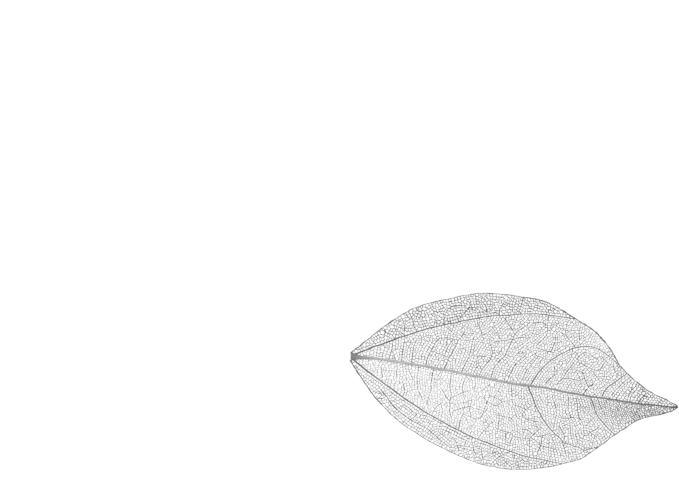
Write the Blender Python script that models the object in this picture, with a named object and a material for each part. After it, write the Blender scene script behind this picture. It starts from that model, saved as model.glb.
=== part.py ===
"""A skeleton leaf: one dried leaf with its flesh gone, so that only the lace of its veins is left.

It lies face up, with its base towards -X and its tip towards +X. The origin is on the surface
below the middle of its box. Every length here is in millimetres, and the mesh is made in metres.

A place on the leaf is (u, v): u runs from the cut base straight to the tip, and v lies across,
positive towards +Y. The veins are lines of such places. The net between them is the dual of a
triangle mesh between seeds, so each seed becomes one mesh of the net with a real hole in it.
Every vein has a flat underside and a ridge on top.
"""
import math
import random

import bpy
import numpy as np
from mathutils import Vector
from mathutils.geometry import delaunay_2d_cdt

METRES = 0.001

# The outline and the main veins
TIP = (90.0, 0.0)
BASE = (0.0, 0.1)
MIDRIB = (
    (0.0, 0.1), (6.0, 0.7), (16.0, 0.8), (28.0, 0.5), (46.0, -0.3), (66.0, -0.6), (80.0, -0.3), (90.0, 0.0),
)
UPPER_MARGIN = (
    (-0.3, 1.1), (3.4, 5.1), (8.2, 10.4), (14.3, 15.6), (23.7, 19.9), (33.0, 22.9), (42.6, 23.6),
    (51.0, 22.9), (58.1, 20.2), (66.3, 16.0), (70.3, 12.4), (72.9, 9.2), (77.2, 5.9), (82.7, 2.9),
    (87.3, 1.5), (90.0, 0.0),
)
LOWER_MARGIN = (
    (-0.2, -0.9), (3.2, -4.7), (7.6, -9.2), (13.8, -14.0), (22.2, -18.4), (31.4, -21.4), (40.8, -23.4),
    (51.3, -22.8), (58.0, -21.1), (61.3, -19.8), (65.5, -17.9), (70.0, -14.0), (76.0, -8.3), (80.1, -4.7),
    (86.4, -2.1), (90.0, 0.0),
)
UPPER_LATERAL = (
    (0.6, 0.8), (9.2, 5.8), (19.4, 10.9), (30.1, 15.2), (40.7, 18.2), (50.0, 19.7), (58.8, 19.9),
)
LOWER_LATERAL = (
    (0.6, -0.6), (9.2, -5.3), (19.4, -10.3), (30.1, -14.6), (40.7, -17.4), (49.9, -19.1), (61.3, -19.8),
)
UPPER_BRANCHES = (
    ((49.4, -0.3), (52.0, 4.8), (55.8, 9.2), (60.8, 12.4), (64.8, 12.9), (69.0, 11.5), (72.9, 9.2)),
    ((69.0, -0.5), (70.2, 2.4), (72.7, 4.9), (75.1, 7.4)),
)
LOWER_BRANCHES = (
    ((48.8, -0.3), (51.5, -5.0), (55.3, -9.5), (59.4, -12.7), (63.9, -14.5), (67.0, -14.9), (70.4, -13.6)),
    ((66.1, -0.6), (68.9, -5.4), (72.3, -8.4), (74.4, -9.8)),
)

# The net
MESH_SIZE = 2.30  # between the middles of two meshes
BLADE_REACH = 24.0  # past the widest place of the blade
COLUMN_LEAN = (0.10, 0.48)  # how far a column of meshes runs forward on its way out, at the base and the tip
COLUMN_CURVE = 0.016
FAR_SEEDS = 24
EVENING_TURNS = 4
RELAX_TURNS = 4
RELAX_SHARE = 0.5
RANDOM_START = 7

# Distances in the net, as shares of MESH_SIZE
PAIR_REACH = 0.46
PAIR_STEP = 0.98
NEAREST_VEIN = 0.34
NEAREST_PAIR = 0.66
NEAREST_SEED = 0.74
NEAREST_GAP_SEED = 0.80
GAP_STEP = 0.15
NARROWEST_STRIP = 0.42
SINGLE_ROW_STRIP = 1.45
COLUMN_STEP = 0.92
JITTER = 0.10

# Half width and ridge height of each vein, at the base and at the tip
VEIN_SIZES = {
    "midrib": ((0.80, 0.42), (1.20, 0.72)),
    "margin": ((0.38, 0.34), (0.70, 0.66)),
    "lateral": ((0.50, 0.36), (0.90, 0.68)),
    "branch": ((0.42, 0.36), (0.76, 0.66)),
    "net": ((0.31, 0.30), (0.64, 0.62)),
}
VEIN_SHRINKS = (1.0, 0.85, 0.7)  # tried in turn where a mesh is small
LEAST_HOLE_SIDE = 0.12
LEAST_HOLE_WIDTH = 0.30
WEB_HEIGHT = 0.6  # where a mesh is too small for a hole
STRAIGHT_TURN = 0.17  # the sine under which two sides of a mesh count as one line

# How the leaf lies: on three low points round a flat middle, with edges and a tip that lift and wave
LOW_POINTS = ((27.0, 11.0), (31.0, -11.5), (60.0, 1.0))
LOW_POINT_REACH = 5.0
REST_GAP = 0.10  # between the flat middle and what the leaf lies on
REST_MIDDLE = (42.0, 0.2)
REST_REACH = (13.0, 7.0)
EDGE_LIFT = 0.52
EDGE_LIFT_EASE = 0.35
WAVE_HEIGHT = 0.55
WAVE_LENGTH = 27.0
WAVE_REACH = 12.0
WAVE_LAG = 1.2  # of the upper edge behind the lower one, in radians
TIP_LIFT = 3.6
TIP_LIFT_START = 56.0
FOLD_MIDDLE = 73.0
FOLD_REACH = 13.0
FOLD_DEPTH = 2.7
FOLD_WIDTH = 5.5

LINE_STEP = 0.25
SLOPE_STEP = 0.05
COLOUR = (0.16, 0.16, 0.16, 1.0)
ROUGHNESS = 0.75


def smooth_line(places):
    """Return evenly spaced points on a smooth curve through the places."""
    knots = np.array(places)
    gaps = np.hypot(*np.diff(knots, axis=0).T)
    along = np.concatenate(([0.0], np.cumsum(gaps)))
    slopes = np.gradient(knots, along, axis=0)
    count = int(along[-1] / LINE_STEP) + 1
    at = np.linspace(0.0, along[-1], count)
    piece = np.clip(np.searchsorted(along, at, side="right") - 1, 0, len(gaps) - 1)
    share = ((at - along[piece]) / gaps[piece])[:, None]
    width = gaps[piece][:, None]
    start = (1 + 2 * share) * (1 - share) ** 2 * knots[piece]
    start += share * (1 - share) ** 2 * width * slopes[piece]
    end = share ** 2 * (3 - 2 * share) * knots[piece + 1]
    end += share ** 2 * (share - 1) * width * slopes[piece + 1]
    return start + end


def make_lines():
    """Return every vein that the net follows, as smooth lines by name."""
    lines = {"midrib": smooth_line(MIDRIB)}
    for side, margin, lateral, branches in (
        ("upper", UPPER_MARGIN, UPPER_LATERAL, UPPER_BRANCHES),
        ("lower", LOWER_MARGIN, LOWER_LATERAL, LOWER_BRANCHES),
    ):
        lines[side + " margin"] = smooth_line(margin)
        lines[side + " lateral"] = smooth_line(lateral)
        for number, branch in enumerate(branches, 1):
            lines["%s branch %d" % (side, number)] = smooth_line(branch)
    return lines


LINES = make_lines()


def across(name, u):
    """Return v of a vein at u."""
    line = LINES[name]
    return np.interp(u, line[:, 0], line[:, 1])


def nearest_on(name, place):
    """Return the point of a vein that is nearest to a place."""
    line = LINES[name]
    gaps = np.hypot(line[:, 0] - place[0], line[:, 1] - place[1])
    return line[int(np.argmin(gaps))]


def ease(share):
    """Rise smoothly from 0 to 1 while the share does."""
    share = min(1.0, max(0.0, share))
    return share * share * (3.0 - 2.0 * share)


def panel_of(place):
    """Name the panel between main veins that holds a place: (side, in the outer strip, branches passed)."""
    u, v = place
    inside = across("lower margin", u) < v < across("upper margin", u) and BASE[0] < u < TIP[0]
    if not inside:
        return None
    side = "upper" if v > across("midrib", u) else "lower"
    lateral = LINES[side + " lateral"]
    strip = u < lateral[-1][0] and abs(v) > abs(across(side + " lateral", u))
    passed = 0
    for number in (1, 2):
        branch = LINES["%s branch %d" % (side, number)]
        within = abs(v) < abs(np.interp(u, branch[:, 0], branch[:, 1]))
        if u > branch[0][0] and (within or u > branch[-1][0]):
            passed = number
    return side, strip, passed


def vein_between(one, other):
    """Name the line that separates two panels, or None inside one panel."""
    if one == other:
        return None
    if one is None or other is None:
        side = (one or other)[0]
        return side + " margin"
    if one[0] != other[0]:
        return "midrib"
    if one[1] != other[1]:
        return one[0] + " lateral"
    return "%s branch %d" % (one[0], max(one[2], other[2]))


def clear_of_veins(place, gap):
    """Tell whether a place is at least the gap away from every line."""
    for name in LINES:
        near = nearest_on(name, place)
        if math.hypot(near[0] - place[0], near[1] - place[1]) < gap:
            return False
    return True


def clear_of_seeds(place, seeds, gap):
    """Tell whether a place is at least the gap away from every seed."""
    return all(math.hypot(place[0] - x, place[1] - y) >= gap for x, y in seeds)


def strip_seeds():
    """Seed the strips between long veins where they are too narrow for two rows."""
    seeds = []
    order = ("lower margin", "lower lateral", "midrib", "upper lateral", "upper margin")
    for u in np.arange(0.0, TIP[0], MESH_SIZE * PAIR_STEP):
        here = [name for name in order if LINES[name][0][0] <= u <= LINES[name][-1][0]]
        for low, high in zip(here, here[1:]):
            bottom = across(low, u)
            width = across(high, u) - bottom
            place = (u, bottom + width / 2)
            if panel_of(place) and NARROWEST_STRIP * MESH_SIZE < width < SINGLE_ROW_STRIP * MESH_SIZE:
                seeds.append(place)
    return seeds


def paired_seeds(seeds, draw):
    """Seed both sides of each vein at the same distance, so that the net has an edge along it."""
    reach = MESH_SIZE * PAIR_REACH
    step = int(MESH_SIZE * PAIR_STEP / LINE_STEP)
    for line in LINES.values():
        ways = np.gradient(line, axis=0)
        for n in range(step // 2, len(line) - 1, step):
            way = ways[n] / np.hypot(*ways[n])
            shift = draw.uniform(-JITTER, JITTER) * MESH_SIZE
            middle = line[n] + shift * way
            for side in (1, -1):
                place = middle + side * reach * np.array((-way[1], way[0]))
                add_seed(tuple(place), seeds, NEAREST_PAIR)


def filling_seeds(seeds, draw):
    """Seed the rest in staggered columns that leave the midrib and bend towards the tip."""
    roots = np.arange(-BLADE_REACH, TIP[0], MESH_SIZE * COLUMN_STEP)
    for side in (1, -1):
        for column, root in enumerate(roots):
            lean = COLUMN_LEAN[0] + (COLUMN_LEAN[1] - COLUMN_LEAN[0]) * ease(root / TIP[0])
            stagger = MESH_SIZE * (1.0 if column % 2 else 0.5)
            for out in np.arange(stagger, BLADE_REACH, MESH_SIZE):
                u = root + lean * out + COLUMN_CURVE * out * out
                v = across("midrib", u) + side * out
                shift_u = draw.uniform(-JITTER, JITTER) * MESH_SIZE
                shift_v = draw.uniform(-JITTER, JITTER) * MESH_SIZE
                add_seed((u + shift_u, v + shift_v), seeds, NEAREST_SEED)


def gap_seeds(seeds):
    """Seed what gaps are left, so that no mesh is much larger than the others."""
    for u in np.arange(0.0, TIP[0], MESH_SIZE * GAP_STEP):
        for v in np.arange(-BLADE_REACH, BLADE_REACH, MESH_SIZE * GAP_STEP):
            add_seed((u, v), seeds, NEAREST_GAP_SEED)


def add_seed(place, seeds, nearest):
    """Add a seed if it lies on the leaf, clear of the veins and of the other seeds."""
    room = panel_of(place) and clear_of_seeds(place, seeds, nearest * MESH_SIZE)
    if room and clear_of_veins(place, NEAREST_VEIN * MESH_SIZE):
        seeds.append(place)


def outer_seeds(seeds):
    """Reflect the seeds near the margins over them, and close the ring at both ends and far out."""
    ring = [(BASE[0] - MESH_SIZE, BASE[1]), (TIP[0] + MESH_SIZE, TIP[1])]
    for turn in np.linspace(0.0, 2.0 * math.pi, FAR_SEEDS, endpoint=False):
        ring.append((TIP[0] / 2 + TIP[0] * math.cos(turn), TIP[0] * math.sin(turn)))
    for place in seeds:
        for name in ("upper margin", "lower margin"):
            near = nearest_on(name, place)
            if math.hypot(near[0] - place[0], near[1] - place[1]) < MESH_SIZE * SINGLE_ROW_STRIP:
                mirrored = (2 * near[0] - place[0], 2 * near[1] - place[1])
                if panel_of(mirrored) is None:
                    ring.append(mirrored)
    return ring


class Net:
    """The net of veins: its nodes, its meshes, and the vein that each edge belongs to."""

    def __init__(self, seeds):
        self.count = len(seeds)
        places = seeds + outer_seeds(seeds)
        self.panels = [panel_of(place) for place in seeds] + [None] * (len(places) - len(seeds))
        self.triangulate(places)
        self.find_meshes(places)
        self.find_veins()
        self.settle()

    def triangulate(self, places):
        """Join the seeds by triangles. Each becomes a node of the net, at its middle."""
        made = delaunay_2d_cdt([Vector(place) for place in places], [], [], 0, 1e-6)
        source = [ids[0] for ids in made[3]]
        triangles = [tuple(source[corner] for corner in face) for face in made[2]]
        self.triangles = [t for t in triangles if min(t) < self.count]
        self.nodes = np.array([np.mean([places[corner] for corner in t], axis=0) for t in self.triangles])

    def find_meshes(self, places):
        """List for each inner seed the nodes round it, anticlockwise."""
        around = [[] for _ in range(self.count)]
        for node, triangle in enumerate(self.triangles):
            for corner in triangle:
                if corner < self.count:
                    around[corner].append(node)
        self.meshes = []
        for seed, nodes in enumerate(around):
            middle = places[seed]
            turn = [math.atan2(self.nodes[n][1] - middle[1], self.nodes[n][0] - middle[0]) for n in nodes]
            self.meshes.append([node for _, node in sorted(zip(turn, nodes))])

    def find_veins(self):
        """Name the vein of each edge and of each node, and list each node's neighbours."""
        self.veins = {}
        self.beside = [set() for _ in self.triangles]
        for seed, ring in enumerate(self.meshes):
            for one, other in zip(ring, ring[1:] + ring[:1]):
                shared = set(self.triangles[one]) & set(self.triangles[other]) - {seed}
                neighbour = shared.pop()
                self.veins[frozenset((one, other))] = vein_between(self.panels[seed], self.panels[neighbour])
                self.beside[one].add(other)
                self.beside[other].add(one)
        self.node_veins = [set() for _ in self.triangles]
        for pair, name in self.veins.items():
            for node in pair:
                if name:
                    self.node_veins[node].add(name)

    def is_end(self, node):
        """Tell whether a node is where both margins and the midrib meet, at the base or the tip."""
        names = self.node_veins[node]
        return "midrib" in names and any(name.endswith("margin") for name in names)

    def held_places(self):
        """Fix the nodes at the two ends of the leaf, and where each lateral vein runs into its margin."""
        held = {}
        for node, place in enumerate(self.nodes):
            if self.is_end(node):
                held[node] = TIP if place[0] > TIP[0] / 2 else BASE
        for side in ("upper", "lower"):
            end = LINES[side + " lateral"][-1]
            pair = {side + " lateral", side + " margin"}
            meeting = [node for node, names in enumerate(self.node_veins) if pair <= names]
            held[min(meeting, key=lambda node: math.hypot(*(self.nodes[node] - end)))] = tuple(end)
        return held

    def held_on(self, node):
        """Return the line that a node slides on, or None."""
        for kind in ("margin", "midrib", "lateral", "branch 1", "branch 2"):
            for name in sorted(self.node_veins[node]):
                if name.endswith(kind):
                    return name
        return None

    def settle(self):
        """Draw the nodes of veins onto their lines, and even out the others."""
        places = self.held_places()
        lines = [self.held_on(node) for node in range(len(self.nodes))]
        for _ in range(RELAX_TURNS):
            moved = self.nodes.copy()
            for node, line in enumerate(lines):
                if node in places:
                    moved[node] = places[node]
                    continue
                beside = self.beside[node]
                if line:
                    beside = [n for n in beside if self.veins[frozenset((node, n))] == line] or beside
                mean = np.mean([self.nodes[n] for n in beside], axis=0)
                moved[node] = self.nodes[node] + RELAX_SHARE * (mean - self.nodes[node])
                if line:
                    moved[node] = nearest_on(line, moved[node])
            self.nodes = moved

    def mesh_middles(self):
        """Return the middle of each mesh."""
        return [tuple(np.mean(self.nodes[ring], axis=0)) for ring in self.meshes]


def make_net():
    """Make the net, moving each seed to the middle of its mesh a few times to even out their sizes."""
    draw = random.Random(RANDOM_START)
    seeds = strip_seeds()
    paired_seeds(seeds, draw)
    filling_seeds(seeds, draw)
    gap_seeds(seeds)
    for _ in range(EVENING_TURNS):
        seeds = Net(seeds).mesh_middles()
    return Net(seeds)


def vein_kind(name):
    """Return the kind of vein that a line's name stands for."""
    if name is None:
        return "net"
    for kind in ("margin", "midrib", "lateral", "branch"):
        if kind in name:
            return kind


def vein_size(name, u, which):
    """Return the half width (which 0) or the ridge height (which 1) of a vein at u."""
    base, tip = VEIN_SIZES[vein_kind(name)][which]
    return base + (tip - base) * u / TIP[0]


def surface(u, v):
    """Return the height of the leaf's underside at a place."""
    reach = math.hypot((u - REST_MIDDLE[0]) / REST_REACH[0], (v - REST_MIDDLE[1]) / REST_REACH[1])
    beyond = max(0.0, reach - 1.0)
    lift = EDGE_LIFT * beyond * beyond / (1.0 + EDGE_LIFT_EASE * beyond)
    phase = 2.0 * math.pi * u / WAVE_LENGTH + (WAVE_LAG if v > 0 else 0.0)
    wave = WAVE_HEIGHT * ease(beyond / 2.0) * ease(abs(v) / WAVE_REACH) * (1.0 + math.sin(phase))
    tip = TIP_LIFT * ease((u - TIP_LIFT_START) / (TIP[0] - TIP_LIFT_START))
    out = float(across("midrib", u)) - v
    hump = math.exp(-((u - FOLD_MIDDLE) / FOLD_REACH) ** 2)
    fold = min(FOLD_DEPTH, tip) * hump * ease(out / FOLD_WIDTH)
    height = REST_GAP + lift + wave + tip - fold
    for low_u, low_v in LOW_POINTS:
        far = min(1.0, math.hypot(u - low_u, v - low_v) / LOW_POINT_REACH)
        height *= 1.0 - (1.0 - far * far) ** 2
    return height


def on_leaf(place, height):
    """Return a point at a height over the underside, square to it."""
    u, v = place
    slope_u = (surface(u + SLOPE_STEP, v) - surface(u - SLOPE_STEP, v)) / (2 * SLOPE_STEP)
    slope_v = (surface(u, v + SLOPE_STEP) - surface(u, v - SLOPE_STEP)) / (2 * SLOPE_STEP)
    up = Vector((-slope_u, -slope_v, 1.0)).normalized()
    return Vector((u, v, surface(u, v))) + float(height) * up


def inset(corners, widths):
    """Move each side of a mesh inwards by the half width of its vein, and return the new corners."""
    count = len(corners)
    inner = []
    for n in range(count):
        here = corners[n]
        before = here - corners[n - 1]
        after = corners[(n + 1) % count] - here
        before = before / max(1e-9, np.hypot(*before))
        after = after / max(1e-9, np.hypot(*after))
        left_before = np.array((-before[1], before[0]))
        left_after = np.array((-after[1], after[0]))
        turn = before[0] * after[1] - before[1] * after[0]
        if abs(turn) < STRAIGHT_TURN:
            way = left_before + left_after
            inner.append(here + way / np.hypot(*way) * (widths[n - 1] + widths[n]) / 2)
            continue
        inner.append(here + (after * widths[n - 1] - before * widths[n]) / turn)
    return inner


def is_sound(corners, inner):
    """Tell whether an inset mesh keeps the way of every side and is wide enough for a hole."""
    count = len(corners)
    for n in range(count):
        side = corners[(n + 1) % count] - corners[n]
        new = inner[(n + 1) % count] - inner[n]
        along = float(np.dot(side, new)) / max(1e-9, np.hypot(*side))
        if along < LEAST_HOLE_SIDE:
            return False
    middle = np.mean(inner, axis=0)
    for n in range(count):
        side = inner[(n + 1) % count] - inner[n]
        to_middle = middle - inner[n]
        off = (side[0] * to_middle[1] - side[1] * to_middle[0]) / np.hypot(*side)
        if off < LEAST_HOLE_WIDTH / 2:
            return False
    return True


def find_holes(net):
    """Return the corners of each mesh's hole, or None where the veins meet and leave no hole."""
    holes = []
    for ring in net.meshes:
        corners = [net.nodes[node] for node in ring]
        names = [net.veins[frozenset((one, other))] for one, other in zip(ring, ring[1:] + ring[:1])]
        widths = [vein_size(name, corner[0], 0) for name, corner in zip(names, corners)]
        found = None
        for shrink in VEIN_SHRINKS:
            inner = inset(corners, [width * shrink for width in widths])
            if is_sound(corners, inner):
                found = inner
                break
        holes.append(found)
    return holes


def outer_corner(net, node):
    """Return the place just outside a node on the margin."""
    rim = [n for n in net.beside[node] if (net.veins[frozenset((node, n))] or "").endswith("margin")]
    here = net.nodes[node]
    way = net.nodes[rim[0]] - net.nodes[rim[1]]
    out = np.array((-way[1], way[0])) / np.hypot(*way)
    middle = np.array((TIP[0] / 2, 0.0))
    if net.is_end(node):
        out = (here - middle) / np.hypot(*(here - middle))
    elif float(np.dot(out, here - middle)) < 0:
        out = -out
    return here + out * vein_size("margin", here[0], 0)


class Lace:
    """The closed surface round the net: a ridge along every vein, and a flat underside between the holes."""

    def __init__(self, net):
        self.net = net
        self.points = []
        self.faces = []
        self.ridge = [self.add_ridge(node) for node in range(len(net.nodes))]
        self.low = {}
        self.users = {}
        for seed, (ring, hole) in enumerate(zip(net.meshes, find_holes(net))):
            if hole:
                self.add_hole(seed, ring, hole)
            else:
                self.add_web(seed, ring)
            for one, other in zip(ring, ring[1:] + ring[:1]):
                self.users.setdefault(frozenset((one, other)), []).append((seed, one, other))
        self.add_outside()
        self.add_underside()

    def add(self, place, height=0.0):
        """Add a point at a height over the leaf's underside."""
        self.points.append(on_leaf(place, height) * METRES)
        return len(self.points) - 1

    def add_ridge(self, node):
        """Add the top of a node, as high as its highest vein."""
        place = self.net.nodes[node]
        names = [self.net.veins[frozenset((node, other))] for other in self.net.beside[node]]
        return self.add(place, max(vein_size(name, place[0], 1) for name in names))

    def add_slope(self, owner, one, other):
        """Add the slope from the ridge between two nodes down to its owner's side."""
        self.faces.append((self.ridge[one], self.ridge[other], self.low[owner, other]))
        self.faces.append((self.ridge[one], self.low[owner, other], self.low[owner, one]))

    def add_hole(self, seed, ring, hole):
        """Add the slopes down to the edge of a mesh's hole."""
        for node, corner in zip(ring, hole):
            self.low[seed, node] = self.add(corner)
        for one, other in zip(ring, ring[1:] + ring[:1]):
            self.add_slope(seed, one, other)

    def add_web(self, seed, ring):
        """Add a thin web that closes a mesh."""
        middle = np.mean(self.net.nodes[ring], axis=0)
        top = self.add(middle, WEB_HEIGHT)
        bottom = self.add(middle)
        for one, other in zip(ring, ring[1:] + ring[:1]):
            self.low[seed, one] = bottom
            self.faces.append((self.ridge[one], self.ridge[other], top))

    def add_outside(self):
        """Add the outer slope of the margins."""
        for pair, users in self.users.items():
            if len(users) > 1:
                continue
            _, one, other = users[0]
            for node in (one, other):
                if (None, node) not in self.low:
                    self.low[None, node] = self.add(outer_corner(self.net, node))
            self.add_slope(None, other, one)
            users.append((None, other, one))

    def add_underside(self):
        """Add the underside of every vein, and of the nodes where three veins meet."""
        for (first, one, other), (second, _, _) in self.users.values():
            near = self.low[first, one]
            far = self.low[second, other]
            self.faces.append((near, self.low[first, other], far))
            self.faces.append((near, far, self.low[second, one]))
        for node, triangle in enumerate(self.net.triangles):
            seeds = [seed if seed < self.net.count else None for seed in reversed(triangle)]
            if seeds.count(None) < 2:
                self.faces.append(tuple(self.low[seed, node] for seed in seeds))
        self.faces = [face for face in self.faces if len(set(face)) == 3]


def leaf_material():
    """Dry vein fibre, grey and dull."""
    material = bpy.data.materials.new("dried_vein_fibre")
    material.use_nodes = True
    shader = material.node_tree.nodes["Principled BSDF"]
    shader.inputs["Base Color"].default_value = COLOUR
    shader.inputs["Roughness"].default_value = ROUGHNESS
    shader.inputs["Metallic"].default_value = 0.0
    material.diffuse_color = COLOUR
    return material


def make_leaf():
    """Make the leaf as one closed mesh, with the origin below the middle of its box."""
    lace = Lace(make_net())
    low = [min(point[axis] for point in lace.points) for axis in range(3)]
    high = [max(point[axis] for point in lace.points) for axis in range(3)]
    origin = Vector(((low[0] + high[0]) / 2, (low[1] + high[1]) / 2, low[2]))
    mesh = bpy.data.meshes.new("skeleton_leaf")
    mesh.from_pydata([point - origin for point in lace.points], [], lace.faces)
    leaf = bpy.data.objects.new("skeleton_leaf", mesh)
    leaf.data.materials.append(leaf_material())
    bpy.context.scene.collection.objects.link(leaf)
    return leaf


def clear_scene():
    """Remove what the scene holds."""
    for thing in list(bpy.data.objects):
        bpy.data.objects.remove(thing, do_unlink=True)


clear_scene()
make_leaf()
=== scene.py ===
"""The looks of a dried skeleton leaf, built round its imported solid.

The solid has the leaf's outline, its main veins and a net of wide meshes. Here the whole fine net
is grown round seeds, one in each areole. They stand in columns that leave the midrib, in rows across
the outer strips, and in pairs along the branches, strands and twigs, so that a vein runs between the
two. Ribs are laid along the main veins. Lengths are in millimetres, and the meshes are made in metres.

A place on the leaf is (u, v): u runs from the cut base straight to the tip, and v lies across,
positive towards +Y.
"""

import heapq
import itertools
import math
import random

import bpy
import numpy as np
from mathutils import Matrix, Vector
from mathutils.geometry import delaunay_2d_cdt


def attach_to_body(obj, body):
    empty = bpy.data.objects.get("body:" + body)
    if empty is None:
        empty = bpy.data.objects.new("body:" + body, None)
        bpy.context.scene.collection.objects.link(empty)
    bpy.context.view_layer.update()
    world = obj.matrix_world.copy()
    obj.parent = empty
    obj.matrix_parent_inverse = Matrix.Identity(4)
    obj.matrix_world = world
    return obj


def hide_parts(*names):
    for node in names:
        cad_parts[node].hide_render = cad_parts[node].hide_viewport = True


METRES = 0.001
TINY = 1e-9  # stands in for nothing in a division
LEAF_MIDDLE = (44.975, 0.049)  # the place that lies over the origin

# The photograph's frame, in its pixels
FRAME_SIZE = (679, 495)
BASE_PIXEL = (351.0, 357.0)
TIP_PIXEL = (677.0, 408.0)
LENS = 400.0
SENSOR = 36.0

# The outline and the main veins, as in the solid
TIP = (90.0, 0.0)
BASE = (0.0, 0.1)
MAIN_VEINS = {
    "midrib": (
        (0.0, 0.1), (6.0, 0.7), (16.0, 0.8), (28.0, 0.5), (46.0, -0.3), (66.0, -0.6), (80.0, -0.3), TIP,
    ),
    "upper margin": (
        (-0.3, 1.1), (3.4, 5.1), (8.2, 10.4), (14.3, 15.6), (23.7, 19.9), (33.0, 22.9), (42.6, 23.6),
        (51.0, 22.9), (58.1, 20.2), (66.3, 16.0), (70.3, 12.4), (72.9, 9.2), (77.2, 5.9), (82.7, 2.9),
        (87.3, 1.5), TIP,
    ),
    "upper lateral": (
        (0.6, 0.8), (9.2, 5.8), (19.4, 10.9), (30.1, 15.2), (40.7, 18.2), (50.0, 19.7), (58.8, 19.9),
    ),
    "upper branch 1": (
        (49.4, -0.3), (52.0, 4.8), (55.8, 9.2), (60.8, 12.4), (64.8, 12.9), (69.0, 11.5), (72.9, 9.2),
    ),
    "upper branch 2": ((69.0, -0.5), (70.2, 2.4), (72.7, 4.9), (75.1, 7.4)),
    "lower margin": (
        (-0.2, -0.9), (3.2, -4.7), (7.6, -9.2), (13.8, -14.0), (22.2, -18.4), (31.4, -21.4), (40.8, -23.4),
        (51.3, -22.8), (58.0, -21.1), (61.3, -19.8), (65.5, -17.9), (70.0, -14.0), (76.0, -8.3),
        (80.1, -4.7), (86.4, -2.1), TIP,
    ),
    "lower lateral": (
        (0.6, -0.6), (9.2, -5.3), (19.4, -10.3), (30.1, -14.6), (40.7, -17.4), (49.9, -19.1), (61.3, -19.8),
    ),
    "lower branch 1": (
        (48.8, -0.3), (51.5, -5.0), (55.3, -9.5), (59.4, -12.7), (63.9, -14.5), (67.0, -14.9),
        (70.4, -13.6),
    ),
    "lower branch 2": ((66.1, -0.6), (68.9, -5.4), (72.3, -8.4), (74.4, -9.8)),
}
VEIN_KINDS = ("margin", "midrib", "lateral", "branch 1", "branch 2")  # a shared node is on the first
LINE_STEP = 0.25  # between the points of a smooth line

# How the leaf lies, as in the solid: on three low points round a flat middle
LOW_POINTS = ((27.0, 11.0), (31.0, -11.5), (60.0, 1.0))
LOW_POINT_REACH = 5.0
REST_GAP = 0.10
REST_MIDDLE = (42.0, 0.2)
REST_REACH = (13.0, 7.0)
EDGE_LIFT = 0.52
EDGE_LIFT_EASE = 0.35
WAVE_HEIGHT = 0.55
WAVE_LENGTH = 27.0
WAVE_REACH = 12.0
WAVE_EASE = 2.0  # past the flat middle, as a share of its reach
WAVE_LAG = 1.2  # of the upper edge behind the lower one, in radians
TIP_LIFT = 3.6
TIP_LIFT_START = 56.0
FOLD_MIDDLE = 73.0
FOLD_REACH = 13.0
FOLD_DEPTH = 2.7
FOLD_WIDTH = 5.5
SLOPE_STEP = 0.05  # over which a slope is taken

# The areoles: the small meshes of the net
AREOLE_SIZE = 0.74  # between the middles of two areoles
WIDE_SHARE = 0.15  # how much larger they are at the base, and how far that reaches
WIDE_REACH = 36.0
WIDE_TIP = (0.05, 66.0, 76.0)  # how much larger they get above the midrib near the tip, from and to where
DENSE_MIDDLE = (76.0, -2.4)  # the dense place below the midrib
DENSE_REACH = (11.0, 3.6)
DENSE_EDGE = 1.6  # where it ends, as a share of this reach
DENSE_SHARE = 0.26  # how much smaller they are in it
AREOLE_START = 11  # of the random draws

# Their columns
AREOLE_LEAN = (0.06, 0.50)  # how far a column runs forward on its way out, at the base and the tip
LEAN_STARTS = {1: 0.0, -1: 34.0}  # where the lean begins to grow, above and below the midrib
AREOLE_CURVE = (0.012, 0.036)  # how fast this grows on the way out
FIRST_COLUMN = -9.0
COLUMN_START = 0.02  # from the midrib
COLUMN_TRACE_STEP = 0.1
COLUMN_LENGTH = 32.0
COLUMN_END = 0.575  # how far the last seed is from a main vein, as a share of a step
CROSSED_STEP = 4  # of the points of a main vein, between those that turn the columns
SQUARE_REACH = 4.5  # how near a main vein the columns turn to meet it squarely
SQUARE_SHARE = 0.85
COLUMN_BENDS = (  # of the columns' way: how far in radians, over what length, which way and from where
    (0.11, 14.0, 0.4, 1.0), (0.08, 9.0, 1.9, 4.0), (0.05, 6.0, 2.8, 2.2),
)
STRIP_ENDS = (2, 3)  # points at the ends of a lateral vein that no row of the outer strip starts from

# Their seeds, with distances as shares of the size
AREOLE_JITTER = 0.055
AREOLE_REACH = 0.46  # of a seed from the vein it is paired across
NEAREST_PAIRED = 0.72
NEAREST_AREOLE = 0.74
NEAREST_GAP_AREOLE = 0.81
AREOLE_GAP_STEP = 0.28
AREOLE_VEIN_GAP = 0.26
MIRROR_REACH = 1.45  # of the seeds that are mirrored over a margin
FAR_SEEDS = 24  # in a ring far round the leaf
SAME_PLACE = 1e-6  # nearer seeds count as one, in millimetres

# How the seeds are evened, turn by turn: the share of the way that they move to their areoles' middles
EVENING_SHARES = (0.5, 0.45)
PAIRED_SHARE = 0.45  # of this that seeds in pairs move
DENSE_CALM = 3.0  # how much less the seeds of small areoles move, as a power of their size
LARGEST_AREOLE = 1.30  # before it is parted, and the smallest that stays, as shares of the size squared
SMALLEST_AREOLE = 0.48
PART_REACH = 0.45  # of the new middles, as a share of the way to the furthest corner
FARTHEST_NODE = 0.80  # from its seeds before it gets a seed of its own, as a share of the size
LEAST_EVENED = 0.85  # of the areoles that get such seeds, as a share of the common size

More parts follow.
